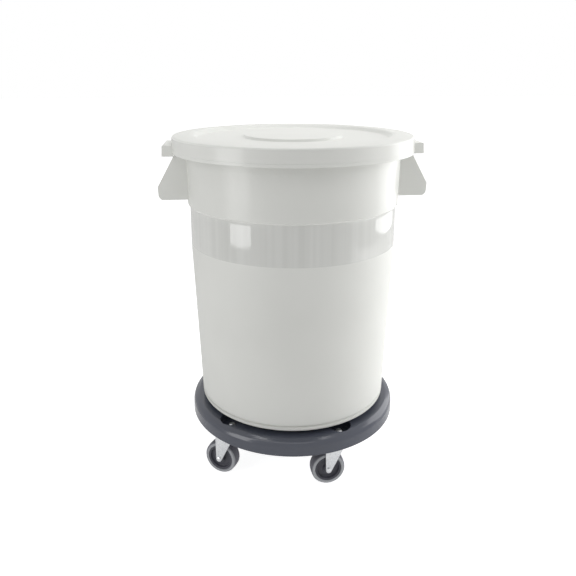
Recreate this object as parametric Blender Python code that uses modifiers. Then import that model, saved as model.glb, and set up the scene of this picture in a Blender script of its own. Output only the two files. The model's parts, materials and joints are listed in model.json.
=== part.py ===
"""Lidded round utility bucket on a caster dolly: a tapered container with two moulded side handles,
a snap-over lid, and a round moulded dolly on five swivel casters. Metres, +Z up.
The origin is on the floor, on the container's axis. The handles lie on +X and -X."""

import math

import bmesh
import bpy

# Driving dimensions. Radii are measured from the container's axis, heights from the floor.
LID_RADIUS = 0.2825
LID_TOP = 0.795
LID_SKIRT_BOTTOM = 0.758
RIM_TOP = 0.7917
RIM_RADIUS = 0.2755
COLLAR_TOP_RADIUS = 0.2525
COLLAR_BOTTOM_RADIUS = 0.2500
COLLAR_BOTTOM = 0.638
BAND_BOTTOM = 0.543
BAND_BOTTOM_RADIUS = 0.2452
BODY_BOTTOM = 0.155
BODY_BOTTOM_RADIUS = 0.2280
FOOT_RADIUS = 0.1945
FOOT_BOTTOM = 0.1333

HANDLE_REACH = 0.3145
HANDLE_HALF_WIDTH = 0.050
HANDLE_TOP = 0.769
HANDLE_KNEE = 0.6825
HANDLE_TOP_REACH = 0.2672
HANDLE_BOTTOM = 0.6520
HANDLE_WALL = 0.004
EAR_REACH = 0.3020
EAR_TOP = 0.7775
EAR_BOTTOM = 0.7525
EAR_WALL = 0.003
EAR_CLEARANCE = 0.003

DECK_RADIUS = 0.254
DECK_TOP = 0.1435
WELL_FLOOR = 0.133
SKIRT_BOTTOM = 0.106
POCKET_RADIUS = 0.027
POCKET_FLOOR = 0.127
BOSS_BOTTOM = 0.121

CASTERS = 5
STEM_CIRCLE = 0.214
FIRST_STEM_DEG = -65.6
SWIVEL_DEG = (184.0, 170.0, 176.0, 162.0, 152.0)
WHEEL_RADIUS = 0.0400
CORE_RADIUS = 0.0305
TYRE_HALF_WIDTH = 0.015
TRAIL = 0.027
FORK_OUTER = 0.0205
FORK_SHEET = 0.0025
CROWN_TOP = 0.1123
STEM_HOLE = 0.0051
KING_RADIUS = 0.0046
AXLE_RADIUS = 0.0038
GAP = 0.0003

BODY_STEPS = 44


def clear_scene():
    for item in list(bpy.data.objects):
        bpy.data.objects.remove(item, do_unlink=True)


def make_collection(name):
    group = bpy.data.collections.new(name)
    bpy.context.scene.collection.children.link(group)
    return group


def material(name, colour, roughness, metallic=0.0):
    made = bpy.data.materials.new(name)
    made.use_nodes = True
    shader = made.node_tree.nodes["Principled BSDF"]
    shader.inputs["Base Color"].default_value = (*colour, 1.0)
    shader.inputs["Roughness"].default_value = roughness
    shader.inputs["Metallic"].default_value = metallic
    return made


def add_object(name, mesh, group, finish=None):
    made = bpy.data.objects.new(name, mesh)
    group.objects.link(made)
    if finish is not None:
        mesh.materials.append(finish)
    return made


def hide_cutter(cutter):
    cutter.hide_render = True
    cutter.display_type = "WIRE"
    return cutter


def turned(name, profile, steps, group, finish=None, closed=True):
    """Turns (radius, height) points about Z. The points run down the outer side, then back up the inside."""
    mesh = bpy.data.meshes.new(name)
    count = len(profile)
    edges = [(i, i + 1) for i in range(count - 1)]
    if closed:
        edges.append((count - 1, 0))
    mesh.from_pydata([(radius, 0.0, height) for radius, height in profile], edges, [])
    made = add_object(name, mesh, group, finish)
    screw = made.modifiers.new("turn", "SCREW")
    screw.axis = "Z"
    screw.steps = steps
    screw.render_steps = steps
    screw.use_merge_vertices = True
    screw.merge_threshold = 0.00001
    screw.use_smooth_shade = True
    return made


def prism(name, outline, thickness, plane, group, finish=None):
    """Extrudes a flat outline to both sides of its plane. XZ outlines run along Y, and YZ outlines along X."""
    shape = bmesh.new()
    if plane == "XZ":
        corners = [shape.verts.new((a, 0.0, b)) for a, b in outline]
    else:
        corners = [shape.verts.new((0.0, a, b)) for a, b in outline]
    shape.faces.new(corners)
    mesh = bpy.data.meshes.new(name)
    shape.to_mesh(mesh)
    shape.free()
    made = add_object(name, mesh, group, finish)
    solidify = made.modifiers.new("thickness", "SOLIDIFY")
    solidify.thickness = thickness
    solidify.offset = 0.0
    return made


def cylinder(name, radius, bottom, top, segments, group, centre=(0.0, 0.0)):
    shape = bmesh.new()
    bmesh.ops.create_cone(
        shape, cap_ends=True, segments=segments, radius1=radius, radius2=radius, depth=top - bottom
    )
    mesh = bpy.data.meshes.new(name)
    shape.to_mesh(mesh)
    shape.free()
    made = add_object(name, mesh, group)
    made.location = (centre[0], centre[1], (bottom + top) / 2)
    return made


def boolean(target, tool, operation):
    cut = target.modifiers.new(operation.lower() + "_" + tool.name, "BOOLEAN")
    cut.operation = operation
    cut.solver = "EXACT"
    cut.object = tool
    return cut


def mirrored(outline, sign):
    return [(sign * a, b) for a, b in outline]


def arc(centre_a, centre_b, radius, start_deg, end_deg, count):
    """Points on an arc, both ends included."""
    points = []
    for i in range(count):
        angle = math.radians(start_deg + (end_deg - start_deg) * i / (count - 1))
        points.append((centre_a + radius * math.cos(angle), centre_b + radius * math.sin(angle)))
    return points


# ---------------------------------------------------------------- container

def container_profile():
    outer = [
        (RIM_RADIUS, RIM_TOP),
        (RIM_RADIUS, 0.777),
        (0.2660, 0.7745),
        (0.2620, 0.7650),
        (0.2545, 0.7570),
        (0.2512, 0.7510),
        (COLLAR_TOP_RADIUS, 0.7400),
        (COLLAR_BOTTOM_RADIUS, COLLAR_BOTTOM),
        (0.2455, COLLAR_BOTTOM - 0.003),
        (0.2448, COLLAR_BOTTOM - 0.006),
        (BAND_BOTTOM_RADIUS, BAND_BOTTOM),
        (BODY_BOTTOM_RADIUS + 0.0005, BODY_BOTTOM + 0.010),
        (BODY_BOTTOM_RADIUS, BODY_BOTTOM),
        (0.2225, 0.1505),
        (0.2040, 0.1475),
        (FOOT_RADIUS + 0.001, 0.1445),
        (FOOT_RADIUS, FOOT_BOTTOM),
        (FOOT_RADIUS - 0.006, FOOT_BOTTOM),
        (FOOT_RADIUS - 0.008, 0.1410),
        (0.0, 0.1425),
    ]
    inner = [
        (0.0, 0.1468),
        (0.1880, 0.1468),
        (0.2040, 0.1514),
        (0.2185, 0.1545),
        (0.2240, 0.1600),
        (BAND_BOTTOM_RADIUS - 0.0038, BAND_BOTTOM),
        (0.2410, 0.6350),
        (0.2442, 0.6420),
        (0.2468, 0.7420),
        (0.2480, 0.7550),
        (0.2580, 0.7670),
        (0.2600, 0.7750),
        (0.2640, RIM_TOP),
    ]
    return outer + inner


def handle_outline():
    return [
        (0.236, HANDLE_TOP),
        (HANDLE_TOP_REACH, HANDLE_TOP),
        (HANDLE_REACH, HANDLE_KNEE),
        (HANDLE_REACH - 0.001, HANDLE_BOTTOM + 0.006),
        (HANDLE_REACH - 0.004, HANDLE_BOTTOM),
        (0.236, HANDLE_BOTTOM),
    ]


def handle_hollow_outline():
    wall = HANDLE_WALL
    return [
        (0.230, HANDLE_TOP - 0.012),
        (HANDLE_TOP_REACH + 0.0017, HANDLE_TOP - 0.012),
        (HANDLE_REACH - wall, HANDLE_KNEE - 0.001),
        (HANDLE_REACH - wall - 0.002, HANDLE_BOTTOM - 0.009),
        (0.230, HANDLE_BOTTOM - 0.009),
    ]


def make_container(group, cutters, finish):
    container = turned("container", container_profile(), BODY_STEPS, group, finish)
    inside = [(0.0, 0.805), (0.2620, 0.805), (0.2600, 0.767), (0.2500, 0.753), (0.2490, 0.740), (0.2462, 0.615), (0.0, 0.615)]
    keep_out = hide_cutter(turned("container_inside_guide", inside, BODY_STEPS, cutters, closed=False))
    for side, sign in (("right", 1.0), ("left", -1.0)):
        width = 2 * HANDLE_HALF_WIDTH
        block = hide_cutter(prism("handle_" + side, mirrored(handle_outline(), sign), width, "XZ", cutters))
        hollow_width = width - 2 * HANDLE_WALL
        hollow = hide_cutter(
            prism("handle_hollow_" + side, mirrored(handle_hollow_outline(), sign), hollow_width, "XZ", cutters)
        )
        boolean(block, hollow, "DIFFERENCE")
        boolean(block, keep_out, "DIFFERENCE")
        boolean(container, block, "UNION")
    return container


# ---------------------------------------------------------------- lid

def lid_profile():
    skirt_inner = LID_RADIUS - 0.003
    outer = [
        (0.0, LID_TOP),
        (0.1140, LID_TOP),
        (0.1175, 0.7890),
        (0.2240, 0.7890),
        (0.2310, 0.7975),
        (0.2400, 0.7985),
        (0.2600, 0.7975),
        (LID_RADIUS - 0.006, 0.7962),
        (LID_RADIUS - 0.001, 0.7935),
        (LID_RADIUS, 0.7900),
        (LID_RADIUS, LID_SKIRT_BOTTOM + 0.006),
        (LID_RADIUS + 0.001, LID_SKIRT_BOTTOM + 0.004),
        (LID_RADIUS + 0.001, LID_SKIRT_BOTTOM),
    ]
    inner = [
        (skirt_inner, LID_SKIRT_BOTTOM),
        (skirt_inner, 0.7890),
        (skirt_inner - 0.002, RIM_TOP + GAP),
        (0.2420, RIM_TOP + GAP),
        (0.2335, 0.7930),
        (0.2265, 0.7860),
        (0.1150, 0.7860),
        (0.1120, 0.7920),
        (0.0, 0.7920),
    ]
    return outer + inner


def ear_outline():
    return [
        (0.262, EAR_TOP),
        (EAR_REACH - 0.003, EAR_TOP),
        (EAR_REACH - 0.001, EAR_TOP - 0.002),
        (EAR_REACH, EAR_BOTTOM),
        (0.262, EAR_BOTTOM),
    ]


def ear_hollow_outline():
    below = EAR_BOTTOM - 0.007
    return [
        (0.250, EAR_TOP - EAR_WALL),
        (EAR_REACH - 0.001 - EAR_WALL, EAR_TOP - EAR_WALL),
        (EAR_REACH - EAR_WALL, below),
        (0.250, below),
    ]


def notch_outline():
    below = EAR_BOTTOM - 0.007
    return [(0.262, HANDLE_TOP + 0.002), (0.300, HANDLE_TOP + 0.002), (0.300, below), (0.262, below)]


def make_lid(group, cutters, finish):
    lid = turned("lid", lid_profile(), BODY_STEPS, group, finish, closed=False)
    inside = [(0.0, 0.805), (LID_RADIUS - 0.0015, 0.805), (LID_RADIUS - 0.0015, 0.735), (0.0, 0.735)]
    keep_out = hide_cutter(turned("lid_inside_guide", inside, BODY_STEPS, cutters, closed=False))
    hollow_width = 2 * (HANDLE_HALF_WIDTH + EAR_CLEARANCE)
    for side, sign in (("right", 1.0), ("left", -1.0)):
        notch = hide_cutter(prism("lid_notch_" + side, mirrored(notch_outline(), sign), hollow_width, "XZ", cutters))
        block = hide_cutter(
            prism("lid_ear_" + side, mirrored(ear_outline(), sign), hollow_width + 2 * EAR_WALL, "XZ", cutters)
        )
        hollow = hide_cutter(
            prism("lid_ear_hollow_" + side, mirrored(ear_hollow_outline(), sign), hollow_width, "XZ", cutters)
        )
        boolean(block, hollow, "DIFFERENCE")
        boolean(block, keep_out, "DIFFERENCE")
        boolean(lid, notch, "DIFFERENCE")
        boolean(lid, block, "UNION")
    return lid


# ---------------------------------------------------------------- dolly

def deck_profile():
    sheet = 0.005
    wall = 0.0045
    return [
        (0.0, WELL_FLOOR),
        (0.1985, WELL_FLOOR),
        (0.2015, DECK_TOP - 0.0015),
        (0.2060, DECK_TOP),
        (0.2370, DECK_TOP),
        (0.2460, DECK_TOP - 0.0025),
        (0.2515, DECK_TOP - 0.0075),
        (0.2535, DECK_TOP - 0.0140),
        (DECK_RADIUS, SKIRT_BOTTOM),
        (DECK_RADIUS - wall, SKIRT_BOTTOM),
        (DECK_RADIUS - wall - 0.0005, DECK_TOP - 0.0140),
        (0.2450, DECK_TOP - 0.0075),
        (0.2360, DECK_TOP - sheet),
        (0.2070, DECK_TOP - sheet),
        (0.2035, WELL_FLOOR - sheet),
        (0.0, WELL_FLOOR - sheet),
    ]


def stem_angle(index):
    return math.radians(FIRST_STEM_DEG + 360.0 / CASTERS * index)


def stem_place(index):
    angle = stem_angle(index)
    return STEM_CIRCLE * math.cos(angle), STEM_CIRCLE * math.sin(angle)


def make_deck(group, cutters, finish):
    deck = turned("dolly_deck", deck_profile(), BODY_STEPS, group, finish, closed=False)
    well = hide_cutter(cylinder("well_guide", 0.2000, WELL_FLOOR - 0.0006, 0.165, 48, cutters))
    hoop = [(0.169, 0.129), (0.169, 0.109), (0.165, 0.109), (0.165, 0.129)]
    ring_rib = hide_cutter(turned("ring_rib", hoop, 32, cutters))
    boolean(deck, ring_rib, "UNION")
    for index in range(CASTERS):
        place = stem_place(index)
        number = str(index + 1)
        boss = hide_cutter(cylinder("boss_" + number, 0.030, BOSS_BOTTOM, DECK_TOP - 0.004, 24, cutters, place))
        boolean(boss, well, "DIFFERENCE")
        boolean(deck, boss, "UNION")
        rib = hide_cutter(prism("rib_" + number, [(0.0, 0.130), (0.2515, 0.130), (0.2515, 0.109), (0.0, 0.109)],
                                0.004, "XZ", cutters))
        rib.rotation_euler[2] = stem_angle(index) + math.pi / CASTERS
        boolean(deck, rib, "UNION")
    for index in range(CASTERS):
        place = stem_place(index)
        number = str(index + 1)
        pocket = hide_cutter(cylinder("pocket_" + number, POCKET_RADIUS, POCKET_FLOOR, 0.165, 24, cutters, place))
        stem_hole = hide_cutter(cylinder("stem_hole_" + number, STEM_HOLE, 0.105, 0.135, 12, cutters, place))
        boolean(deck, pocket, "DIFFERENCE")
        boolean(deck, stem_hole, "DIFFERENCE")
    return deck


# ---------------------------------------------------------------- casters

def king_bolt_profile():
    shank = KING_RADIUS
    head = 0.0075
    seat = POCKET_FLOOR + GAP
    return [
        (0.0, seat + 0.0045),
        (head * 0.62, seat + 0.0038),
        (head, seat + 0.0015),
        (head, seat),
        (shank, seat),
        (shank, 0.1015),
        (0.0, 0.1015),
    ]


def sleeve_profile(bore, outside, bottom, top):
    return [(bore, top), (outside, top), (outside, bottom), (bore, bottom)]


def nut_profile(shank, corner, bottom, top):
    """A six-sided nut whose flats clear the shank it sits on."""
    bore = shank / math.cos(math.pi / 6) + GAP
    return sleeve_profile(bore, corner, bottom, top)


def raceway_profile():
    top = BOSS_BOTTOM - GAP
    return [
        (STEM_HOLE, top),
        (0.0220, top),
        (0.0240, top - 0.0017),
        (0.0240, top - 0.0062),
        (0.0222, top - 0.0062),
        (0.0215, top - 0.0030),
        (STEM_HOLE, top - 0.0030),
    ]


def ball_ring_profile():
    middle = (BOSS_BOTTOM - GAP - 0.0030 + CROWN_TOP) / 2
    return list(reversed(arc(0.0160, middle, 0.0024, 0.0, 300.0, 6)))


def fork_channel_outline():
    outer = FORK_OUTER
    inner = FORK_OUTER - FORK_SHEET
    under = CROWN_TOP - FORK_SHEET
    right = [
        (outer, 0.028),
        (outer, CROWN_TOP - 0.005),
        (outer - 0.0015, CROWN_TOP - 0.0015),
        (outer - 0.0045, CROWN_TOP),
    ]
    inside = [(inner, 0.028), (inner, under - 0.0035), (inner - 0.003, under)]
    left = [(-a, b) for a, b in reversed(right)]
    inside_left = [(-a, b) for a, b in inside]
    return right + left + inside_left + list(reversed(inside))


def fork_side_outline():
    end = arc(TRAIL, WHEEL_RADIUS, 0.0068, -158.0, 0.0, 7)
    upper = [
        (0.0350, 0.0930),
        (0.0340, 0.0990),
        (0.0250, 0.1045),
        (0.0250, 0.1140),
        (-0.0200, 0.1140),
        (-0.0200, 0.1070),
        (-0.0125, 0.1030),
        (-0.0060, 0.0920),
    ]
    return end + upper


def core_profile():
    hub = 0.0071
    half = 0.0165
    return [
        (hub, half),
        (0.0115, half),
        (0.0120, 0.0060),
        (0.0250, 0.0060),
        (0.0262, 0.0130),
        (CORE_RADIUS, 0.0130),
        (CORE_RADIUS, -0.0130),
        (0.0262, -0.0130),
        (0.0250, -0.0060),
        (0.0120, -0.0060),
        (0.0115, -half),
        (hub, -half),
    ]


def tyre_profile():
    half = TYRE_HALF_WIDTH
    bore = CORE_RADIUS + GAP
    return [
        (bore, half - 0.001),
        (0.0335, half),
        (WHEEL_RADIUS - 0.0025, half - 0.0010),
        (WHEEL_RADIUS - 0.0005, half - 0.0045),
        (WHEEL_RADIUS, 0.0),
        (WHEEL_RADIUS - 0.0005, 0.0045 - half),
        (WHEEL_RADIUS - 0.0025, 0.0010 - half),
        (0.0335, -half),
        (bore, 0.001 - half),
    ]


def axle_profile():
    head = 0.0062
    seat = FORK_OUTER + GAP
    return [
        (0.0, seat + 0.0034),
        (head * 0.65, seat + 0.0028),
        (head, seat + 0.0010),
        (head, seat),
        (AXLE_RADIUS, seat),
        (AXLE_RADIUS, -0.0262),
        (0.0, -0.0262),
    ]


def lay_along_y(piece, hub):
    """Turns a piece made about Z so that its axis is the wheel's axle, along the hub's Y."""
    piece.parent = hub
    piece.rotation_euler = (-math.pi / 2, 0.0, 0.0)


def make_caster(index, group, cutters, finishes):
    number = str(index + 1)
    stem_x, stem_y = stem_place(index)
    swivel = bpy.data.objects.new("swivel_axis_" + number, None)
    group.objects.link(swivel)
    swivel.location = (stem_x, stem_y, 0.0)
    swivel.rotation_euler[2] = math.radians(SWIVEL_DEG[index])
    hub = bpy.data.objects.new("wheel_axis_" + number, None)
    group.objects.link(hub)
    hub.parent = swivel
    hub.location = (TRAIL, 0.0, WHEEL_RADIUS)

    steel = finishes["zinc_steel"]
    upright = [
        turned("king_bolt_" + number, king_bolt_profile(), 12, group, steel, closed=False),
        turned("king_nut_" + number, nut_profile(KING_RADIUS, 0.0085, 0.1035, 0.1095), 6, group, steel),
        turned("top_raceway_" + number, raceway_profile(), 16, group, steel),
        turned("ball_ring_" + number, ball_ring_profile(), 14, group, finishes["ball_steel"]),
    ]
    for piece in upright:
        piece.parent = swivel

    fork = prism("fork_" + number, fork_channel_outline(), 0.090, "YZ", group, steel)
    fork.parent = swivel
    side = hide_cutter(prism("fork_side_" + number, fork_side_outline(), 0.060, "XZ", cutters))
    side.parent = swivel
    stem_hole = hide_cutter(cylinder("fork_stem_hole_" + number, STEM_HOLE, 0.103, 0.120, 12, cutters))
    stem_hole.parent = swivel
    axle_hole = hide_cutter(cylinder("fork_axle_hole_" + number, 0.0042, -0.030, 0.030, 12, cutters))
    lay_along_y(axle_hole, hub)
    boolean(fork, side, "INTERSECT")
    boolean(fork, stem_hole, "DIFFERENCE")
    boolean(fork, axle_hole, "DIFFERENCE")

    nut_face = -FORK_OUTER - GAP
    laid = [
        turned("wheel_core_" + number, core_profile(), 16, group, finishes["core_plastic"]),
        turned("tyre_" + number, tyre_profile(), 24, group, finishes["tyre_rubber"]),
        turned("axle_bush_" + number, sleeve_profile(0.0042, 0.0067, -0.0172, 0.0172), 12, group, finishes["bush_nylon"]),
        turned("axle_bolt_" + number, axle_profile(), 10, group, steel, closed=False),
        turned("axle_nut_" + number, nut_profile(AXLE_RADIUS, 0.0074, nut_face - 0.0045, nut_face), 6, group, steel),
    ]
    for piece in laid:
        lay_along_y(piece, hub)


def main():
    clear_scene()
    group = make_collection("wash_bucket")
    cutters = make_collection("cutters")
    container_finish = material("container_plastic", (0.56, 0.56, 0.53), 0.45)
    lid_finish = material("lid_plastic", (0.60, 0.60, 0.57), 0.42)
    deck_finish = material("deck_plastic", (0.055, 0.060, 0.072), 0.38)
    finishes = {
        "zinc_steel": material("zinc_steel", (0.62, 0.62, 0.63), 0.32, 1.0),
        "ball_steel": material("ball_steel", (0.70, 0.70, 0.72), 0.15, 1.0),
        "core_plastic": material("core_plastic", (0.06, 0.06, 0.075), 0.50),
        "tyre_rubber": material("tyre_rubber", (0.17, 0.17, 0.19), 0.60),
        "bush_nylon": material("bush_nylon", (0.50, 0.49, 0.45), 0.50),
    }
    make_container(group, cutters, container_finish)
    make_lid(group, cutters, lid_finish)
    make_deck(group, cutters, deck_finish)
    for index in range(CASTERS):
        make_caster(index, group, cutters, finishes)


main()
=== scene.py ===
"""Looks for the lidded wash bucket on its caster dolly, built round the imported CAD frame.

Metres, +Z up, origin on the floor on the container's axis, handles on +X and -X."""

import json
import math

import bmesh
import bpy
from mathutils import Matrix, Vector


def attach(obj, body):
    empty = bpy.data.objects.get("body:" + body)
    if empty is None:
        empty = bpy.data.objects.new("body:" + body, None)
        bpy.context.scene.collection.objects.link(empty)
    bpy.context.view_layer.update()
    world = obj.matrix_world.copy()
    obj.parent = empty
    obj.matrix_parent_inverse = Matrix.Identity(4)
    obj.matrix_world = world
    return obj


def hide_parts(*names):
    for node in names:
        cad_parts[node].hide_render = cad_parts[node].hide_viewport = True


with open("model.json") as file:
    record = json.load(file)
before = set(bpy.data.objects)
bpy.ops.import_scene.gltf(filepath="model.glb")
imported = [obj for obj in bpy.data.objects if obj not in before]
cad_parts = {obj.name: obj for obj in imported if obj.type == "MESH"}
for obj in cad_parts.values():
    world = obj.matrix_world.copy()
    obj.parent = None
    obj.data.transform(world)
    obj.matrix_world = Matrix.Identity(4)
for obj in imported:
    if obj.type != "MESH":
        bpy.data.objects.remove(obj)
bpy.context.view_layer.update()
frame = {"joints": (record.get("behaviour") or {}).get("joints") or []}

# ---------------------------------------------------------------- driving dimensions, as in the CAD

LID_RADIUS = 0.2825
LID_TOP = 0.795
LID_SKIRT_BOTTOM = 0.758
RIM_TOP = 0.7917
RIM_RADIUS = 0.2755
COLLAR_TOP_RADIUS = 0.2525
COLLAR_BOTTOM_RADIUS = 0.2500
COLLAR_BOTTOM = 0.638
BAND_BOTTOM = 0.543
BAND_BOTTOM_RADIUS = 0.2452
BODY_BOTTOM = 0.155
BODY_BOTTOM_RADIUS = 0.2280
FOOT_RADIUS = 0.1945
FOOT_BOTTOM = 0.1333

HANDLE_REACH = 0.3145
HANDLE_HALF_WIDTH = 0.050
HANDLE_TOP = 0.769
HANDLE_KNEE = 0.6825
HANDLE_TOP_REACH = 0.2672
HANDLE_BOTTOM = 0.6520
HANDLE_WALL = 0.004
EAR_REACH = 0.3020
EAR_TOP = 0.7775
EAR_BOTTOM = 0.7525
EAR_WALL = 0.003
EAR_CLEARANCE = 0.003

DECK_RADIUS = 0.254
DECK_TOP = 0.1435
WELL_FLOOR = 0.133
SKIRT_BOTTOM = 0.106
POCKET_RADIUS = 0.027
POCKET_FLOOR = 0.127
BOSS_BOTTOM = 0.121

WHEEL_RADIUS = 0.0400
CORE_RADIUS = 0.0305
TYRE_HALF_WIDTH = 0.015
FORK_OUTER = 0.0205
FORK_SHEET = 0.0025
CROWN_TOP = 0.1123
KING_RADIUS = 0.0046
STEM_HOLE = 0.0051
AXLE_RADIUS = 0.0038
GAP = 0.0003

ABOVE_LID = 0.805
BELOW_LID = 0.735

BODY_STEPS = 176
SHARP_DEG = 34.0

joints = {joint["name"]: joint for joint in frame["joints"]}
CASTERS = sum(1 for name in joints if name.startswith("caster_swivel"))


# ---------------------------------------------------------------- camera and light

CAMERA_DISTANCE = 1.455
CAMERA_HEIGHT = 0.942
CAMERA_AZIMUTH_DEG = -6.0
CAMERA_PITCH_DEG = 13.67
CAMERA_YAW_DEG = 0.445
LENS_MM = 38.375
SHIFT_Y = -0.1195

SURROUND_AS_LIGHT = 0.21
SURROUND_IN_REFLECTIONS = 0.95
SURROUND_SEEN = 1.0
FLOOR_AS_LIGHT = 0.45
FLOOR_SEEN_NEAR = 0.90
FLOOR_SEEN_FAR = 1.0
FLOOR_NEAR_RADIUS = 0.3
FLOOR_FAR_RADIUS = 1.2


def make_camera():
    data = bpy.data.cameras.new("camera")
    camera = bpy.data.objects.new("camera", data)
    bpy.context.scene.collection.objects.link(camera)
    data.sensor_width = 36.0
    data.lens = LENS_MM
    data.shift_y = SHIFT_Y
    azimuth = math.radians(CAMERA_AZIMUTH_DEG)
    camera.location = (
        CAMERA_DISTANCE * math.sin(azimuth),
        -CAMERA_DISTANCE * math.cos(azimuth),
        CAMERA_HEIGHT,
    )
    camera.rotation_euler = (
        math.radians(90.0 - CAMERA_PITCH_DEG),
        0.0,
        azimuth + math.radians(CAMERA_YAW_DEG),
    )
    bpy.context.scene.camera = camera


def around(bearing_deg, distance, height):
    """A place seen from the object. Bearing 0 is towards the camera, and it grows towards the right."""
    angle = math.radians(bearing_deg + CAMERA_AZIMUTH_DEG)
    return Vector((distance * math.sin(angle), -distance * math.cos(angle), height))


def softbox(name, bearing_deg, distance, low, high, width, power, target_height=0.45):
    data = bpy.data.lights.new(name, "AREA")
    data.shape = "RECTANGLE"
    data.size = width
    data.size_y = high - low
    data.energy = power
    light = bpy.data.objects.new(name, data)
    bpy.context.scene.collection.objects.link(light)
    light.location = around(bearing_deg, distance, (low + high) / 2)
    aim = Vector((0.0, 0.0, target_height)) - light.location
    light.rotation_euler = aim.to_track_quat("-Z", "Y").to_euler()
    light.visible_camera = False
    return light


def make_lights():
    """Softboxes round the object. The right fill is left out of reflections, and the top one hangs level overhead."""
    softbox("softbox_left", -54.3, 1.75, 0.085, 1.75, 0.80, 9.8, 0.60)
    fill = softbox("softbox_right", 84.0, 1.9, 0.05, 2.0, 1.3, 24.0)
    fill.visible_glossy = False
    softbox("softbox_right_back", 117.0, 1.9, 0.125, 2.0, 1.44, 17.0, 1.0625)
    softbox("softbox_front_top", -14.0, 1.35, 1.95, 2.55, 2.2, 4.6, 0.30)
    top = softbox("softbox_top", 170.0, 0.6, 2.1, 3.1, 1.6, 19.0, 0.79)
    top.location = (0.0, 0.35, 2.4)
    top.rotation_euler = (0.0, 0.0, 0.0)


def make_world():
    """An even pale surround: dim as light, brighter in reflections, and plain white behind the object."""
    world = bpy.data.worlds.new("studio")
    bpy.context.scene.world = world
    world.use_nodes = True
    nodes = world.node_tree.nodes
    links = world.node_tree.links
    nodes.clear()
    path = nodes.new("ShaderNodeLightPath")
    shown = None
    for ray, strength in (
        ("", SURROUND_AS_LIGHT),
        ("Is Glossy Ray", SURROUND_IN_REFLECTIONS),
        ("Is Camera Ray", SURROUND_SEEN),
    ):
        backdrop = nodes.new("ShaderNodeBackground")
        backdrop.inputs["Color"].default_value = (1.0, 1.0, 1.0, 1.0)
        backdrop.inputs["Strength"].default_value = strength
        if shown is None:
            shown = backdrop
            continue
        mix = nodes.new("ShaderNodeMixShader")
        links.new(path.outputs[ray], mix.inputs[0])
        links.new(shown.outputs[0], mix.inputs[1])
        links.new(backdrop.outputs[0], mix.inputs[2])
        shown = mix
    output = nodes.new("ShaderNodeOutputWorld")
    links.new(shown.outputs[0], output.inputs[0])


# ---------------------------------------------------------------- material helpers

def new_material(name):
    made = bpy.data.materials.new(name)
    made.use_nodes = True
    return made, made.node_tree.nodes, made.node_tree.links, made.node_tree.nodes["Principled BSDF"]


def coordinates(nodes, links, scale=(1.0, 1.0, 1.0)):
    place = nodes.new("ShaderNodeTexCoord")
    mapping = nodes.new("ShaderNodeMapping")
    mapping.inputs["Scale"].default_value = scale
    links.new(place.outputs["Object"], mapping.inputs["Vector"])
    return mapping.outputs["Vector"]


def noise(nodes, links, vector, scale, detail=3.0, roughness=0.55):
    made = nodes.new("ShaderNodeTexNoise")
    made.inputs["Scale"].default_value = scale
    made.inputs["Detail"].default_value = detail
    made.inputs["Roughness"].default_value = roughness
    links.new(vector, made.inputs["Vector"])
    return made.outputs["Fac"]


def spread(nodes, links, value, low, high, from_low=0.3, from_high=0.7):
    made = nodes.new("ShaderNodeMapRange")
    made.inputs["From Min"].default_value = from_low
    made.inputs["From Max"].default_value = from_high
    made.inputs["To Min"].default_value = low
    made.inputs["To Max"].default_value = high
    links.new(value, made.inputs["Value"])
    return made.outputs["Result"]


def blend_colour(nodes, links, value, first, second):
    made = nodes.new("ShaderNodeMix")
    made.data_type = "RGBA"
    made.inputs[6].default_value = (*first, 1.0)
    made.inputs[7].default_value = (*second, 1.0)
    links.new(value, made.inputs[0])
    return made.outputs[2]


def bump(nodes, links, height, strength, distance, after=None):
    made = nodes.new("ShaderNodeBump")
    made.inputs["Strength"].default_value = strength
    made.inputs["Distance"].default_value = distance
    links.new(height, made.inputs["Height"])
    if after is not None:
        links.new(after, made.inputs["Normal"])
    return made.outputs["Normal"]


# ---------------------------------------------------------------- materials

def moulded_plastic(name, tone, shade, rough, grain_scale, grain_depth, scuff=0.05, specular=0.5,
                    top_rough=None, streaks=False):
    """Moulded plastic: a slow drift of tone, a fine moulded grain, and faint scuffs in the gloss.

    top_rough is the roughness of faces that point up. With streaks, the drift of tone runs in upright streaks: a
    painted reflection of lighter and darker panels round the studio."""
    made, nodes, links, shader = new_material(name)
    place = coordinates(nodes, links)
    # streaks stretches the tone drift upright, which paints reflection streaks into the colour.
    drift_place = coordinates(nodes, links, (9.0, 9.0, 0.1)) if streaks else place
    drift = spread(nodes, links, noise(nodes, links, drift_place, 5.0, 2.0), 0.0, 1.0)
    links.new(blend_colour(nodes, links, drift, tone, shade), shader.inputs["Base Color"])
    scuffs = coordinates(nodes, links, (30.0, 30.0, 4.0))
    marks = noise(nodes, links, scuffs, 2.5, 5.0, 0.65)
    gloss = spread(nodes, links, marks, rough - scuff, rough + scuff)
    if top_rough is not None:
        facing = nodes.new("ShaderNodeTexCoord")
        up = nodes.new("ShaderNodeSeparateXYZ")
        links.new(facing.outputs["Normal"], up.inputs[0])
        upward = nodes.new("ShaderNodeMix")
        links.new(spread(nodes, links, up.outputs["Z"], 0.0, 1.0, 0.3, 0.9), upward.inputs[0])
        links.new(gloss, upward.inputs[2])
        upward.inputs[3].default_value = top_rough
        gloss = upward.outputs[0]
    links.new(gloss, shader.inputs["Roughness"])
    grain = noise(nodes, links, place, grain_scale, 3.0, 0.6)
    links.new(bump(nodes, links, grain, 0.35, grain_depth), shader.inputs["Normal"])
    shader.inputs["Specular IOR Level"].default_value = specular
    return made


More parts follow.
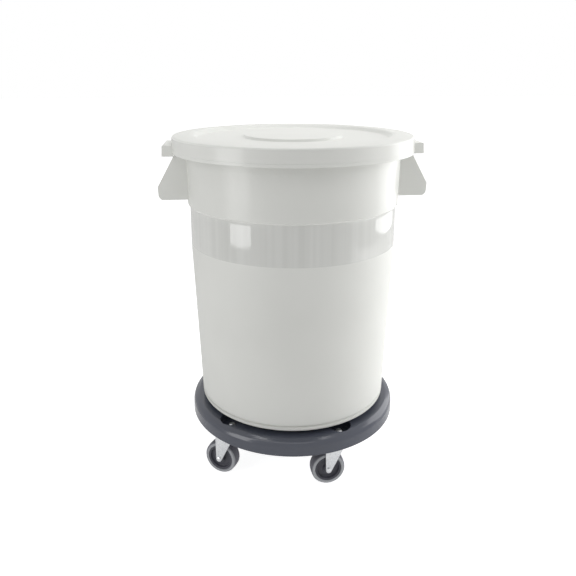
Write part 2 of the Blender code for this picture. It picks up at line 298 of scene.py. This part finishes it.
def zinc_steel(name="zinc_steel"):
    made, nodes, links, shader = new_material(name)
    place = coordinates(nodes, links)
    spangle = nodes.new("ShaderNodeTexVoronoi")
    spangle.inputs["Scale"].default_value = 260.0
    links.new(place, spangle.inputs["Vector"])
    cells = spread(nodes, links, spangle.outputs["Distance"], 0.0, 1.0, 0.0, 0.8)
    links.new(blend_colour(nodes, links, cells, (0.80, 0.81, 0.82), (0.66, 0.67, 0.69)), shader.inputs["Base Color"])
    brushed = coordinates(nodes, links, (1.0, 1.0, 0.12))
    streaks = noise(nodes, links, brushed, 420.0, 3.0)
    links.new(spread(nodes, links, streaks, 0.24, 0.40), shader.inputs["Roughness"])
    links.new(bump(nodes, links, streaks, 0.18, 0.00015), shader.inputs["Normal"])
    shader.inputs["Metallic"].default_value = 0.9
    return made


def ball_steel():
    made, nodes, links, shader = new_material("ball_steel")
    place = coordinates(nodes, links)
    grease = noise(nodes, links, place, 90.0, 3.0)
    film = spread(nodes, links, grease, 0.0, 1.0)
    links.new(blend_colour(nodes, links, film, (0.72, 0.72, 0.74), (0.34, 0.31, 0.26)), shader.inputs["Base Color"])
    links.new(spread(nodes, links, grease, 0.10, 0.35), shader.inputs["Roughness"])
    shader.inputs["Metallic"].default_value = 1.0
    return made


def tyre_rubber():
    """Grey rubber: a darker tread with a dusty drift of tone, and side walls painted paler as painted light, for the
    light falling on the wheel's sides.
    """
    made, nodes, links, shader = new_material("tyre_rubber")
    place = coordinates(nodes, links)
    dust = noise(nodes, links, place, 38.0, 5.0, 0.62)
    drift = spread(nodes, links, dust, 0.0, 1.0)
    tread = blend_colour(nodes, links, drift, (0.120, 0.120, 0.145), (0.155, 0.155, 0.180))
    # Painted light: faces that point along the axle take a paler grey than the tread, standing in for light on the side
    # walls.
    wall = nodes.new("ShaderNodeMix")
    wall.data_type = "RGBA"
    wall.inputs[7].default_value = (0.40, 0.41, 0.43, 1.0)
    facing = nodes.new("ShaderNodeTexCoord")
    across = nodes.new("ShaderNodeSeparateXYZ")
    links.new(facing.outputs["Normal"], across.inputs[0])
    size = nodes.new("ShaderNodeMath")
    size.operation = "ABSOLUTE"
    links.new(across.outputs["Y"], size.inputs[0])
    links.new(spread(nodes, links, size.outputs[0], 0.0, 1.0, 0.55, 0.95), wall.inputs[0])
    links.new(tread, wall.inputs[6])
    links.new(wall.outputs[2], shader.inputs["Base Color"])
    links.new(spread(nodes, links, dust, 0.50, 0.72), shader.inputs["Roughness"])
    grain = noise(nodes, links, place, 900.0, 2.0)
    links.new(bump(nodes, links, grain, 0.25, 0.00012), shader.inputs["Normal"])
    return made


def floor_paint():
    """A pale floor that glows a little, and that fades to plain white away from the object."""
    made, nodes, links, shader = new_material("floor_paint")
    place = coordinates(nodes, links)
    drift = spread(nodes, links, noise(nodes, links, place, 0.8, 2.0), 0.0, 1.0)
    links.new(blend_colour(nodes, links, drift, (0.60, 0.60, 0.60), (0.585, 0.585, 0.585)), shader.inputs["Base Color"])
    shader.inputs["Roughness"].default_value = 0.9
    shader.inputs["Specular IOR Level"].default_value = 0.1
    shader.inputs["Emission Color"].default_value = (1.0, 1.0, 1.0, 1.0)
    distance = nodes.new("ShaderNodeVectorMath")
    distance.operation = "LENGTH"
    links.new(place, distance.inputs[0])
    shown = spread(nodes, links, distance.outputs["Value"],
                   FLOOR_SEEN_NEAR, FLOOR_SEEN_FAR, FLOOR_NEAR_RADIUS, FLOOR_FAR_RADIUS)
    path = nodes.new("ShaderNodeLightPath")
    glow = nodes.new("ShaderNodeMix")
    glow.inputs[2].default_value = FLOOR_AS_LIGHT
    links.new(path.outputs["Is Camera Ray"], glow.inputs[0])
    links.new(shown, glow.inputs[3])
    links.new(glow.outputs[0], shader.inputs["Emission Strength"])
    return made


# ---------------------------------------------------------------- mesh helpers

def rounded(corners, segments=4):
    """A profile whose corners are (a, b, fillet radius). Each fillet becomes a short arc."""
    points = []
    count = len(corners)
    for i, (a, b, radius) in enumerate(corners):
        here = Vector((a, b))
        if radius <= 0.0 or i == 0 or i == count - 1:
            points.append(here)
            continue
        before = Vector(corners[i - 1][:2]) - here
        after = Vector(corners[i + 1][:2]) - here
        half_angle = before.angle(after) / 2
        reach = min(radius / math.tan(half_angle), before.length * 0.48, after.length * 0.48)
        start = here + before.normalized() * reach
        end = here + after.normalized() * reach
        for step in range(segments + 1):
            t = step / segments
            points.append(start * (1 - t) ** 2 + here * 2 * t * (1 - t) + end * t ** 2)
    return points


def held(points, margin=0.0015, longest=0.05):
    """Adds points near the ends of long runs, and along them, so that smooth shading stays flat on them."""
    dense = [points[0]]
    for before, after in zip(points, points[1:]):
        run = after - before
        if run.length > 6 * margin:
            step = run.normalized() * margin
            dense.append(before + step)
            pieces = int(run.length / longest)
            for k in range(1, pieces + 1):
                dense.append(before + step + (run - 2 * step) * k / (pieces + 1))
            dense.append(after - step)
        dense.append(after)
    return dense


def lathe(name, profile, steps, closed=False):
    """Turns a list of (radius, height) points about Z, down the outside and up the inside."""
    shape = bmesh.new()
    rings = []
    for radius, height in profile:
        if radius < 1e-6:
            rings.append([shape.verts.new((0.0, 0.0, height))])
            continue
        ring = []
        for k in range(steps):
            angle = 2 * math.pi * k / steps
            ring.append(shape.verts.new((radius * math.cos(angle), radius * math.sin(angle), height)))
        rings.append(ring)
    pairs = list(zip(rings, rings[1:]))
    if closed:
        pairs.append((rings[-1], rings[0]))
    for upper, lower in pairs:
        if len(upper) == 1 and len(lower) == 1:
            continue
        for k in range(steps):
            n = (k + 1) % steps
            if len(upper) == 1:
                shape.faces.new((upper[0], lower[k], lower[n]))
            elif len(lower) == 1:
                shape.faces.new((upper[k], lower[0], upper[n]))
            else:
                shape.faces.new((upper[k], lower[k], lower[n], upper[n]))
    return to_object(name, shape)


def to_object(name, shape):
    bmesh.ops.recalc_face_normals(shape, faces=shape.faces)
    mesh = bpy.data.meshes.new(name)
    shape.to_mesh(mesh)
    shape.free()
    made = bpy.data.objects.new(name, mesh)
    bpy.context.scene.collection.objects.link(made)
    return made


def extruded(name, outline, low, high, plane):
    """A flat outline given a thickness. An XZ outline runs from low to high along Y, a YZ outline along X."""
    shape = bmesh.new()

    def place(point, depth):
        if plane == "XZ":
            return (point[0], depth, point[1])
        return (depth, point[0], point[1])

    near = [shape.verts.new(place(point, low)) for point in outline]
    far = [shape.verts.new(place(point, high)) for point in outline]
    shape.faces.new(near)
    shape.faces.new(list(reversed(far)))
    count = len(outline)
    for k in range(count):
        n = (k + 1) % count
        shape.faces.new((near[n], near[k], far[k], far[n]))
    return to_object(name, shape)


def round_post(name, radius, low, high, steps, centre=(0.0, 0.0)):
    made = lathe(name, [Vector((0.0, high)), Vector((radius, high)), Vector((radius, low)), Vector((0.0, low))], steps)
    made.data.transform(Matrix.Translation((centre[0], centre[1], 0.0)))
    return made


def apply_modifiers(piece):
    graph = bpy.context.evaluated_depsgraph_get()
    mesh = bpy.data.meshes.new_from_object(piece.evaluated_get(graph))
    old = piece.data
    piece.modifiers.clear()
    piece.data = mesh
    bpy.data.meshes.remove(old)


def combine(piece, tool, operation, keep=False):
    cut = piece.modifiers.new(operation, "BOOLEAN")
    cut.operation = operation
    cut.solver = "EXACT"
    cut.object = tool
    apply_modifiers(piece)
    if not keep:
        bpy.data.objects.remove(tool, do_unlink=True)


def bevel(piece, width, segments=3, angle_deg=35.0):
    made = piece.modifiers.new("bevel", "BEVEL")
    made.width = width
    made.segments = segments
    made.limit_method = "ANGLE"
    made.angle_limit = math.radians(angle_deg)
    made.harden_normals = False
    apply_modifiers(piece)


def smooth(piece, angle_deg=SHARP_DEG):
    piece.data.shade_smooth()
    piece.data.set_sharp_from_angle(angle=math.radians(angle_deg))


def mirrored(outline, sign):
    return [(sign * point[0], point[1]) for point in outline]


def finish_piece(piece, body, nodes, slot, *materials):
    piece.data.materials.clear()
    for item in materials:
        piece.data.materials.append(item)
    smooth(piece)
    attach(piece, body)
    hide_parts(*nodes)


# ---------------------------------------------------------------- container

def container_profile():
    return held(rounded([
        (0.2640, RIM_TOP, 0.0),
        (RIM_RADIUS, RIM_TOP, 0.0030),
        (RIM_RADIUS, 0.7760, 0.0015),
        (0.2700, 0.7745, 0.0010),
        (0.2660, 0.7745, 0.0030),
        (0.2612, 0.7630, 0.0040),
        (0.2520, 0.7550, 0.0060),
        (COLLAR_TOP_RADIUS, 0.7400, 0.0300),
        (COLLAR_BOTTOM_RADIUS, COLLAR_BOTTOM, 0.0014),
        (0.2452, COLLAR_BOTTOM - 0.0035, 0.0016),
        (0.2449, COLLAR_BOTTOM - 0.0100, 0.0),
        (BAND_BOTTOM_RADIUS, BAND_BOTTOM, 0.0),
        (0.2288, BODY_BOTTOM + 0.0128, 0.0005),
        (0.2242, BODY_BOTTOM + 0.0108, 0.0005),
        (0.2242, BODY_BOTTOM + 0.0080, 0.0005),
        (0.2286, BODY_BOTTOM + 0.0062, 0.0006),
        (BODY_BOTTOM_RADIUS, BODY_BOTTOM + 0.0003, 0.0030),
        (0.2225, 0.1505, 0.0030),
        (0.2040, 0.1475, 0.0030),
        (FOOT_RADIUS + 0.001, 0.1445, 0.0015),
        (FOOT_RADIUS, FOOT_BOTTOM, 0.0012),
        (FOOT_RADIUS - 0.006, FOOT_BOTTOM, 0.0012),
        (FOOT_RADIUS - 0.008, 0.1412, 0.0015),
        (0.0, 0.1425, 0.0),
    ])) + held(rounded([
        (0.0, 0.1468, 0.0),
        (0.1880, 0.1468, 0.0040),
        (0.2040, 0.1514, 0.0040),
        (0.2185, 0.1545, 0.0040),
        (0.2240, 0.1600, 0.0040),
        (BAND_BOTTOM_RADIUS - 0.0038, BAND_BOTTOM, 0.0),
        (0.2410, 0.6350, 0.0020),
        (0.2442, 0.6420, 0.0020),
        (0.2468, 0.7420, 0.0100),
        (0.2480, 0.7550, 0.0060),
        (0.2575, 0.7660, 0.0040),
        (0.2600, 0.7750, 0.0040),
        (0.2600, 0.7880, 0.0025),
        (0.2640, RIM_TOP, 0.0),
    ]))[:-1]


def handle_outline():
    return [(p.x, p.y) for p in rounded([
        (0.236, HANDLE_BOTTOM, 0.0),
        (0.236, HANDLE_TOP, 0.0),
        (HANDLE_TOP_REACH, HANDLE_TOP, 0.0010),
        (HANDLE_REACH, HANDLE_KNEE, 0.0030),
        (HANDLE_REACH - 0.0012, HANDLE_BOTTOM + 0.0080, 0.0060),
        (HANDLE_REACH - 0.0080, HANDLE_BOTTOM, 0.0060),
        (0.236, HANDLE_BOTTOM, 0.0),
    ])][:-1]


def handle_hollow_outline():
    wall = HANDLE_WALL
    return [(p.x, p.y) for p in rounded([
        (0.230, HANDLE_BOTTOM - 0.009, 0.0),
        (0.230, HANDLE_TOP - 0.012, 0.0),
        (HANDLE_TOP_REACH + 0.0017, HANDLE_TOP - 0.012, 0.0030),
        (HANDLE_REACH - wall, HANDLE_KNEE - 0.0015, 0.0025),
        (HANDLE_REACH - wall - 0.001, HANDLE_BOTTOM + 0.004, 0.0020),
        (HANDLE_REACH - wall - 0.002, HANDLE_BOTTOM - 0.009, 0.0),
        (0.230, HANDLE_BOTTOM - 0.009, 0.0),
    ])][:-1]


def make_container(finishes):
    container = lathe("container_shell", container_profile(), BODY_STEPS, closed=True)
    inside = rounded([
        (0.0, ABOVE_LID, 0.0),
        (0.2630, ABOVE_LID, 0.0),
        (0.2590, 0.7650, 0.0),
        (0.2498, 0.7540, 0.0),
        (0.2488, 0.7400, 0.0),
        (0.2460, 0.6150, 0.0),
        (0.0, 0.6150, 0.0),
    ])
    half = HANDLE_HALF_WIDTH
    for sign in (1.0, -1.0):
        handle = extruded("handle", mirrored(handle_outline(), sign), -half, half, "XZ")
        bevel(handle, 0.0030, 4, 60.0)
        hollow_half = half - HANDLE_WALL
        hollow = extruded("hollow", mirrored(handle_hollow_outline(), sign), -hollow_half, hollow_half, "XZ")
        bevel(hollow, 0.0020, 3, 60.0)
        combine(handle, hollow, "DIFFERENCE")
        keep_out = lathe("keep_out", inside, BODY_STEPS)
        combine(handle, keep_out, "DIFFERENCE")
        combine(container, handle, "UNION")
    finish_piece(container, "container", ["container"], "container", *finishes)
    mark_zones(container)
    return container


def mark_zones(container):
    """Gives each height of the container its finish: 0 matte body, 1 polished band, 2 satin collar and inside."""
    for face in container.data.polygons:
        radius = math.hypot(face.center.x, face.center.y)
        outward = face.normal.x * face.center.x + face.normal.y * face.center.y > 0.0
        if not outward or face.center.z > COLLAR_BOTTOM - 0.004:
            face.material_index = 2
        elif face.center.z > BAND_BOTTOM and radius < COLLAR_BOTTOM_RADIUS:
            face.material_index = 1
        else:
            face.material_index = 0


# ---------------------------------------------------------------- lid

def lid_profile():
    skirt_inner = LID_RADIUS - 0.003
    return held(rounded([
        (0.0, LID_TOP, 0.0),
        (0.1145, LID_TOP, 0.0022),
        (0.1172, 0.7890, 0.0020),
        (0.2250, 0.7890, 0.0050),
        (0.2310, 0.7972, 0.0060),
        (0.2400, 0.7985, 0.0200),
        (0.2650, 0.7975, 0.0300),
        (0.2800, 0.7958, 0.0040),
        (LID_RADIUS, 0.7920, 0.0030),
        (LID_RADIUS, LID_SKIRT_BOTTOM + 0.0075, 0.0015),
        (LID_RADIUS + 0.0006, LID_SKIRT_BOTTOM + 0.0060, 0.0010),
        (LID_RADIUS + 0.0006, LID_SKIRT_BOTTOM, 0.0010),
        (skirt_inner, LID_SKIRT_BOTTOM, 0.0010),
        (skirt_inner, RIM_TOP + GAP, 0.0016),
        (0.2420, RIM_TOP + GAP, 0.0040),
        (0.2335, 0.7930, 0.0040),
        (0.2265, 0.7860, 0.0040),
        (0.1150, 0.7860, 0.0020),
        (0.1120, 0.7920, 0.0020),
        (0.0, 0.7920, 0.0),
    ]))


def ear_outline():
    return [(p.x, p.y) for p in rounded([
        (0.262, EAR_BOTTOM, 0.0),
        (0.262, EAR_TOP, 0.0),
        (EAR_REACH - 0.0012, EAR_TOP, 0.0030),
        (EAR_REACH, EAR_BOTTOM, 0.0012),
        (0.262, EAR_BOTTOM, 0.0),
    ])][:-1]


def ear_hollow_outline():
    below = EAR_BOTTOM - 0.007
    return [
        (0.250, EAR_TOP - EAR_WALL),
        (EAR_REACH - 0.001 - EAR_WALL, EAR_TOP - EAR_WALL),
        (EAR_REACH - EAR_WALL, below),
        (0.250, below),
    ]


def notch_outline():
    below = EAR_BOTTOM - 0.007
    return [(0.262, HANDLE_TOP + 0.002), (0.300, HANDLE_TOP + 0.002), (0.300, below), (0.262, below)]


def make_lid(finish):
    lid = lathe("lid_shell", lid_profile(), BODY_STEPS)
    half = HANDLE_HALF_WIDTH + EAR_CLEARANCE
    inside_radius = LID_RADIUS - 0.0015
    inside = [Vector(p) for p in (
        (0.0, ABOVE_LID), (inside_radius, ABOVE_LID), (inside_radius, BELOW_LID), (0.0, BELOW_LID),
    )]
    for sign in (1.0, -1.0):
        ear = extruded("ear", mirrored(ear_outline(), sign), -half - EAR_WALL, half + EAR_WALL, "XZ")
        bevel(ear, 0.0022, 3, 60.0)
        hollow = extruded("hollow", mirrored(ear_hollow_outline(), sign), -half, half, "XZ")
        combine(ear, hollow, "DIFFERENCE")
        keep_out = lathe("keep_out", inside, BODY_STEPS)
        combine(ear, keep_out, "DIFFERENCE")
        notch = extruded("notch", mirrored(notch_outline(), sign), -half, half, "XZ")
        combine(lid, notch, "DIFFERENCE")
        combine(lid, ear, "UNION")
    finish_piece(lid, "lid", ["lid"], "lid", finish)
    return lid


# ---------------------------------------------------------------- dolly

def deck_profile():
    sheet = 0.005
    wall = 0.0045
    return held(rounded([
        (0.0, WELL_FLOOR, 0.0),
        (0.1985, WELL_FLOOR, 0.0020),
        (0.2015, DECK_TOP - 0.0012, 0.0020),
        (0.2080, DECK_TOP, 0.0060),
        (0.2390, DECK_TOP - 0.0004, 0.0100),
        (0.2505, DECK_TOP - 0.0062, 0.0090),
        (0.2535, DECK_TOP - 0.0140, 0.0060),
        (DECK_RADIUS, SKIRT_BOTTOM, 0.0014),
        (DECK_RADIUS - wall, SKIRT_BOTTOM, 0.0014),
        (DECK_RADIUS - wall - 0.0005, DECK_TOP - 0.0140, 0.0040),
        (0.2450, DECK_TOP - 0.0075, 0.0040),
        (0.2360, DECK_TOP - sheet, 0.0040),
        (0.2070, DECK_TOP - sheet, 0.0020),
        (0.2035, WELL_FLOOR - sheet, 0.0020),
        (0.0, WELL_FLOOR - sheet, 0.0),
    ]))


def stem_place(index):
    place = joints["caster_swivel_" + str(index + 1)]["pos_m"]
    return place[0], place[1]


def make_deck(finish):
    deck = lathe("dolly_shell", deck_profile(), BODY_STEPS)
    hoop = [Vector(p) for p in ((0.169, 0.129), (0.169, 0.109), (0.165, 0.109), (0.165, 0.129))]
    combine(deck, lathe("hoop", hoop, 64, closed=True), "UNION")
    well = round_post("well", 0.2000, WELL_FLOOR - 0.0006, 0.165, 96)
    for index in range(CASTERS):
        stem_x, stem_y = stem_place(index)
        boss = round_post("boss", 0.030, BOSS_BOTTOM, DECK_TOP - 0.004, 48, (stem_x, stem_y))
        combine(boss, well, "DIFFERENCE", keep=True)
        combine(deck, boss, "UNION")
        rib = extruded("rib", [(0.0, 0.130), (0.2515, 0.130), (0.2515, 0.109), (0.0, 0.109)], -0.002, 0.002, "XZ")
        turn = math.atan2(stem_y, stem_x) + math.pi / CASTERS
        rib.data.transform(Matrix.Rotation(turn, 4, "Z"))
        combine(deck, rib, "UNION")
    bpy.data.objects.remove(well, do_unlink=True)
    for index in range(CASTERS):
        place = stem_place(index)
        pocket_profile = rounded([
            (0.0, 0.165, 0.0),
            (POCKET_RADIUS, 0.165, 0.0),
            (POCKET_RADIUS, POCKET_FLOOR, 0.0025),
            (0.0, POCKET_FLOOR, 0.0),
        ])
        pocket = lathe("pocket", pocket_profile, 64)
        pocket.data.transform(Matrix.Translation((place[0], place[1], 0.0)))
        combine(deck, pocket, "DIFFERENCE")
        combine(deck, round_post("stem_hole", STEM_HOLE, 0.105, 0.135, 24, place), "DIFFERENCE")
    finish_piece(deck, "dolly", ["dolly_deck"], "deck", finish)
    return deck


# ---------------------------------------------------------------- casters

def domed_bolt(name, head, shank, seat, tip, rise, steps=32):
    return lathe(name, held(rounded([
        (0.0, seat + rise, 0.0),
        (head * 0.62, seat + rise * 0.86, 0.0030),
        (head, seat + rise * 0.35, 0.0010),
        (head, seat, 0.0003),
        (shank, seat, 0.0003),
        (shank, tip, 0.0008),
        (0.0, tip, 0.0),
    ]), 0.0004), steps)


def hex_nut(name, shank, corner, bottom, top):
    """A six-sided nut with chamfered corners and a round bore."""
    outline = [(corner * math.cos(math.radians(60 * k)), corner * math.sin(math.radians(60 * k))) for k in range(6)]
    shape = bmesh.new()
    lower = [shape.verts.new((a, b, bottom)) for a, b in outline]
    upper = [shape.verts.new((a, b, top)) for a, b in outline]
    shape.faces.new(lower)
    shape.faces.new(upper)
    for k in range(6):
        n = (k + 1) % 6
        shape.faces.new((lower[k], lower[n], upper[n], upper[k]))
    nut = to_object(name, shape)
    chamfer_profile = held(rounded([
        (0.0, top, 0.0),
        (corner * 0.90, top, 0.0),
        (corner * 1.01, top - 0.0009, 0.0),
        (corner * 1.01, bottom + 0.0009, 0.0),
        (corner * 0.90, bottom, 0.0),
        (0.0, bottom, 0.0),
    ]), 0.0005)
    combine(nut, lathe("chamfer", chamfer_profile, 48), "INTERSECT")
    bore = round_post("bore", shank + GAP, bottom - 0.002, top + 0.002, 32)
    combine(nut, bore, "DIFFERENCE")
    return nut


def raceway(name):
    top = BOSS_BOTTOM - GAP
    return lathe(name, held(rounded([
        (STEM_HOLE, top, 0.0),
        (0.0222, top, 0.0014),
        (0.0240, top - 0.0020, 0.0014),
        (0.0240, top - 0.0062, 0.0004),
        (0.0224, top - 0.0062, 0.0004),
        (0.0217, top - 0.0030, 0.0010),
        (STEM_HOLE, top - 0.0030, 0.0),
    ]), 0.0004), 64, closed=True)


def ball_ring(name):
    """The swivel's balls in their grease: a ring with a bulge for each ball."""
    balls = 16
    middle = (BOSS_BOTTOM - GAP - 0.0030 + CROWN_TOP) / 2
    shape = bmesh.new()
    around_steps = balls * 8
    section_steps = 12
    rings = []
    for k in range(around_steps):
        angle = 2 * math.pi * k / around_steps
        swell = 0.0017 + 0.0007 * abs(math.cos(angle * balls / 2))
        ring = []
        for j in range(section_steps):
            turn = 2 * math.pi * j / section_steps
            radius = 0.0160 + swell * math.cos(turn)
            ring.append(shape.verts.new((
                radius * math.cos(angle), radius * math.sin(angle), middle + swell * math.sin(turn)
            )))
        rings.append(ring)
    for k in range(around_steps):
        upper, lower = rings[k], rings[(k + 1) % around_steps]
        for j in range(section_steps):
            n = (j + 1) % section_steps
            shape.faces.new((upper[j], lower[j], lower[n], upper[n]))
    return to_object(name, shape)


def fork(name, trail):
    outer = FORK_OUTER
    inner = FORK_OUTER - FORK_SHEET
    under = CROWN_TOP - FORK_SHEET
    half_channel = rounded([
        (outer, 0.028, 0.0),
        (outer, CROWN_TOP, 0.0050),
        (0.0, CROWN_TOP, 0.0),
    ], 6)[:-1]
    half_inside = rounded([
        (inner, 0.028, 0.0),
        (inner, under, 0.0030),
        (0.0, under, 0.0),
    ], 6)[:-1]
    channel = [(p.x, p.y) for p in half_channel]
    channel += [(-p.x, p.y) for p in reversed(half_channel)]
    channel += [(-p.x, p.y) for p in half_inside]
    channel += [(p.x, p.y) for p in reversed(half_inside)]
    body = extruded(name, channel, -0.045, 0.045, "YZ")
    foot = []
    for k in range(17):
        angle = math.radians(-158.0 + 158.0 * k / 16)
        foot.append(Vector((trail + 0.0068 * math.cos(angle), WHEEL_RADIUS + 0.0068 * math.sin(angle))))
    upper = rounded([
        (foot[-1].x, foot[-1].y, 0.0),
        (trail + 0.0080, 0.0930, 0.0200),
        (trail + 0.0070, 0.0990, 0.0030),
        (0.0250, 0.1045, 0.0030),
        (0.0250, 0.1140, 0.0),
        (-0.0200, 0.1140, 0.0),
        (-0.0200, 0.1070, 0.0020),
        (-0.0125, 0.1030, 0.0040),
        (-0.0060, 0.0920, 0.0100),
        (foot[0].x, foot[0].y, 0.0),
    ])[1:-1]
    side = extruded("side", [(p.x, p.y) for p in foot + upper], -0.030, 0.030, "XZ")
    combine(body, side, "INTERSECT")
    combine(body, round_post("stem_hole", STEM_HOLE, 0.103, 0.120, 24), "DIFFERENCE")
    axle_hole = round_post("axle_hole", 0.0042, -0.030, 0.030, 24)
    axle_hole.data.transform(Matrix.Translation((trail, 0.0, WHEEL_RADIUS)) @ Matrix.Rotation(-math.pi / 2, 4, "X"))
    combine(body, axle_hole, "DIFFERENCE")
    bevel(body, 0.0005, 2, 50.0)
    return body


def wheel_core(name):
    half = 0.0165
    core = lathe(name, held(rounded([
        (0.0071, half, 0.0004),
        (0.0112, half, 0.0010),
        (0.0122, 0.0080, 0.0020),
        (0.0246, 0.0068, 0.0020),
        (0.0264, 0.0130, 0.0008),
        (CORE_RADIUS, 0.0130, 0.0004),
        (CORE_RADIUS, -0.0130, 0.0004),
        (0.0264, -0.0130, 0.0008),
        (0.0246, -0.0068, 0.0020),
        (0.0122, -0.0080, 0.0020),
        (0.0112, -half, 0.0010),
        (0.0071, -half, 0.0004),
    ]), 0.0006), 80, closed=True)
    return core


def tyre(name):
    half = TYRE_HALF_WIDTH
    bore = CORE_RADIUS + GAP
    return lathe(name, held(rounded([
        (bore, half - 0.0012, 0.0004),
        (0.0328, half - 0.0002, 0.0010),
        (0.0370, half - 0.0006, 0.0030),
        (0.0393, half - 0.0040, 0.0030),
        (WHEEL_RADIUS, 0.0, 0.0200),
        (0.0393, 0.0040 - half, 0.0030),
        (0.0370, 0.0006 - half, 0.0030),
        (0.0328, 0.0002 - half, 0.0010),
        (bore, 0.0012 - half, 0.0004),
    ]), 0.0008), 96, closed=True)


def bush(name):
    return lathe(name, held(rounded([
        (0.0042, 0.0172, 0.0003),
        (0.0067, 0.0172, 0.0006),
        (0.0067, -0.0172, 0.0006),
        (0.0042, -0.0172, 0.0003),
    ]), 0.0005), 48, closed=True)


def place_caster_piece(piece, matrix, body, nodes, slot, finish):
    piece.data.transform(matrix)
    finish_piece(piece, body, nodes, slot, finish)


def make_caster(index, finishes):
    number = str(index + 1)
    swivel = joints["caster_swivel_" + number]
    spin = joints["wheel_spin_" + number]
    stem = Vector(swivel["pos_m"])
    axle = Vector(spin["pos_m"])
    reach = Vector((axle.x - stem.x, axle.y - stem.y, 0.0))
    upright = Matrix.Translation((stem.x, stem.y, 0.0)) @ Matrix.Rotation(math.atan2(reach.y, reach.x), 4, "Z")
    laid = upright @ Matrix.Translation((reach.length, 0.0, WHEEL_RADIUS)) @ Matrix.Rotation(-math.pi / 2, 4, "X")
    steel = finishes["zinc_steel"]
    caster = "caster_" + number
    wheel = "wheel_" + number
    plan = [
        (domed_bolt("king_bolt_head_" + number, 0.0075, KING_RADIUS, POCKET_FLOOR + GAP, 0.1015, 0.0045),
         upright, "dolly", "king_bolt", "zinc_steel", steel),
        (hex_nut("king_nut_hex_" + number, KING_RADIUS, 0.0085, 0.1035, 0.1095),
         upright, "dolly", "king_nut", "zinc_steel", steel),
        (raceway("raceway_cup_" + number), upright, "dolly", "top_raceway", "zinc_steel", steel),
        (ball_ring("balls_" + number), upright, "dolly", "ball_ring", "ball_steel", finishes["ball_steel"]),
        (fork("fork_pressing_" + number, reach.length), upright, caster, "fork", "zinc_steel", steel),
        (domed_bolt("axle_rivet_" + number, 0.0062, AXLE_RADIUS, FORK_OUTER + GAP, -0.0262, 0.0034),
         laid, caster, "axle_bolt", "zinc_steel", steel),
        (hex_nut("axle_nut_hex_" + number, AXLE_RADIUS, 0.0074, -FORK_OUTER - GAP - 0.0045, -FORK_OUTER - GAP),
         laid, caster, "axle_nut", "zinc_steel", steel),
        (wheel_core("wheel_centre_" + number), laid, wheel, "wheel_core", "wheel_core", finishes["wheel_core"]),
        (tyre("tyre_ring_" + number), laid, wheel, "tyre", "tyre", finishes["tyre"]),
        (bush("bush_sleeve_" + number), laid, wheel, "axle_bush", "bush", finishes["bush"]),
    ]
    for piece, matrix, body, node, slot, finish in plan:
        place_caster_piece(piece, matrix, body, [node + "_" + number], slot, finish)


# ---------------------------------------------------------------- stage

def make_floor():
    bpy.ops.mesh.primitive_plane_add(size=40.0, location=(0.0, 0.0, 0.0))
    floor = bpy.context.object
    floor.name = "floor"
    floor.data.materials.append(floor_paint())


def main():
    scene = bpy.context.scene
    scene.view_settings.view_transform = "Standard"
    make_camera()
    make_lights()
    make_world()
    make_floor()
    cream, cream_shade = (0.70, 0.705, 0.675), (0.675, 0.68, 0.65)
    body_finish = moulded_plastic("body_matte", cream, cream_shade, 0.52, 1500.0, 0.00035)
    # The polished band's upright streaks of tone are painted reflection, not a change in the plastic.
    band_finish = moulded_plastic(
        "band_polished", (0.65, 0.655, 0.63), (0.585, 0.59, 0.565), 0.05, 400.0, 0.00002, 0.02,
        specular=0.9, streaks=True)
    collar_finish = moulded_plastic("collar_satin", cream, cream_shade, 0.25, 1200.0, 0.00010, 0.02)
    lid_finish = moulded_plastic(
        "lid_satin", (0.715, 0.72, 0.69), (0.695, 0.70, 0.67), 0.21, 1200.0, 0.00008, 0.02, top_rough=0.50)
    deck_finish = moulded_plastic(
        "deck_slate", (0.058, 0.065, 0.090), (0.050, 0.056, 0.078), 0.16, 900.0, 0.00010, 0.02, specular=0.7)
    finishes = {
        "zinc_steel": zinc_steel(),
        "ball_steel": ball_steel(),
        "tyre": tyre_rubber(),
        "wheel_core": moulded_plastic(
            "core_plastic", (0.060, 0.060, 0.078), (0.050, 0.050, 0.064), 0.42, 1500.0, 0.00015),
        "bush": moulded_plastic("bush_nylon", (0.52, 0.50, 0.45), (0.48, 0.46, 0.41), 0.48, 1500.0, 0.0001),
    }
    make_container((body_finish, band_finish, collar_finish))
    make_lid(lid_finish)
    make_deck(deck_finish)
    for index in range(CASTERS):
        make_caster(index, finishes)


main()
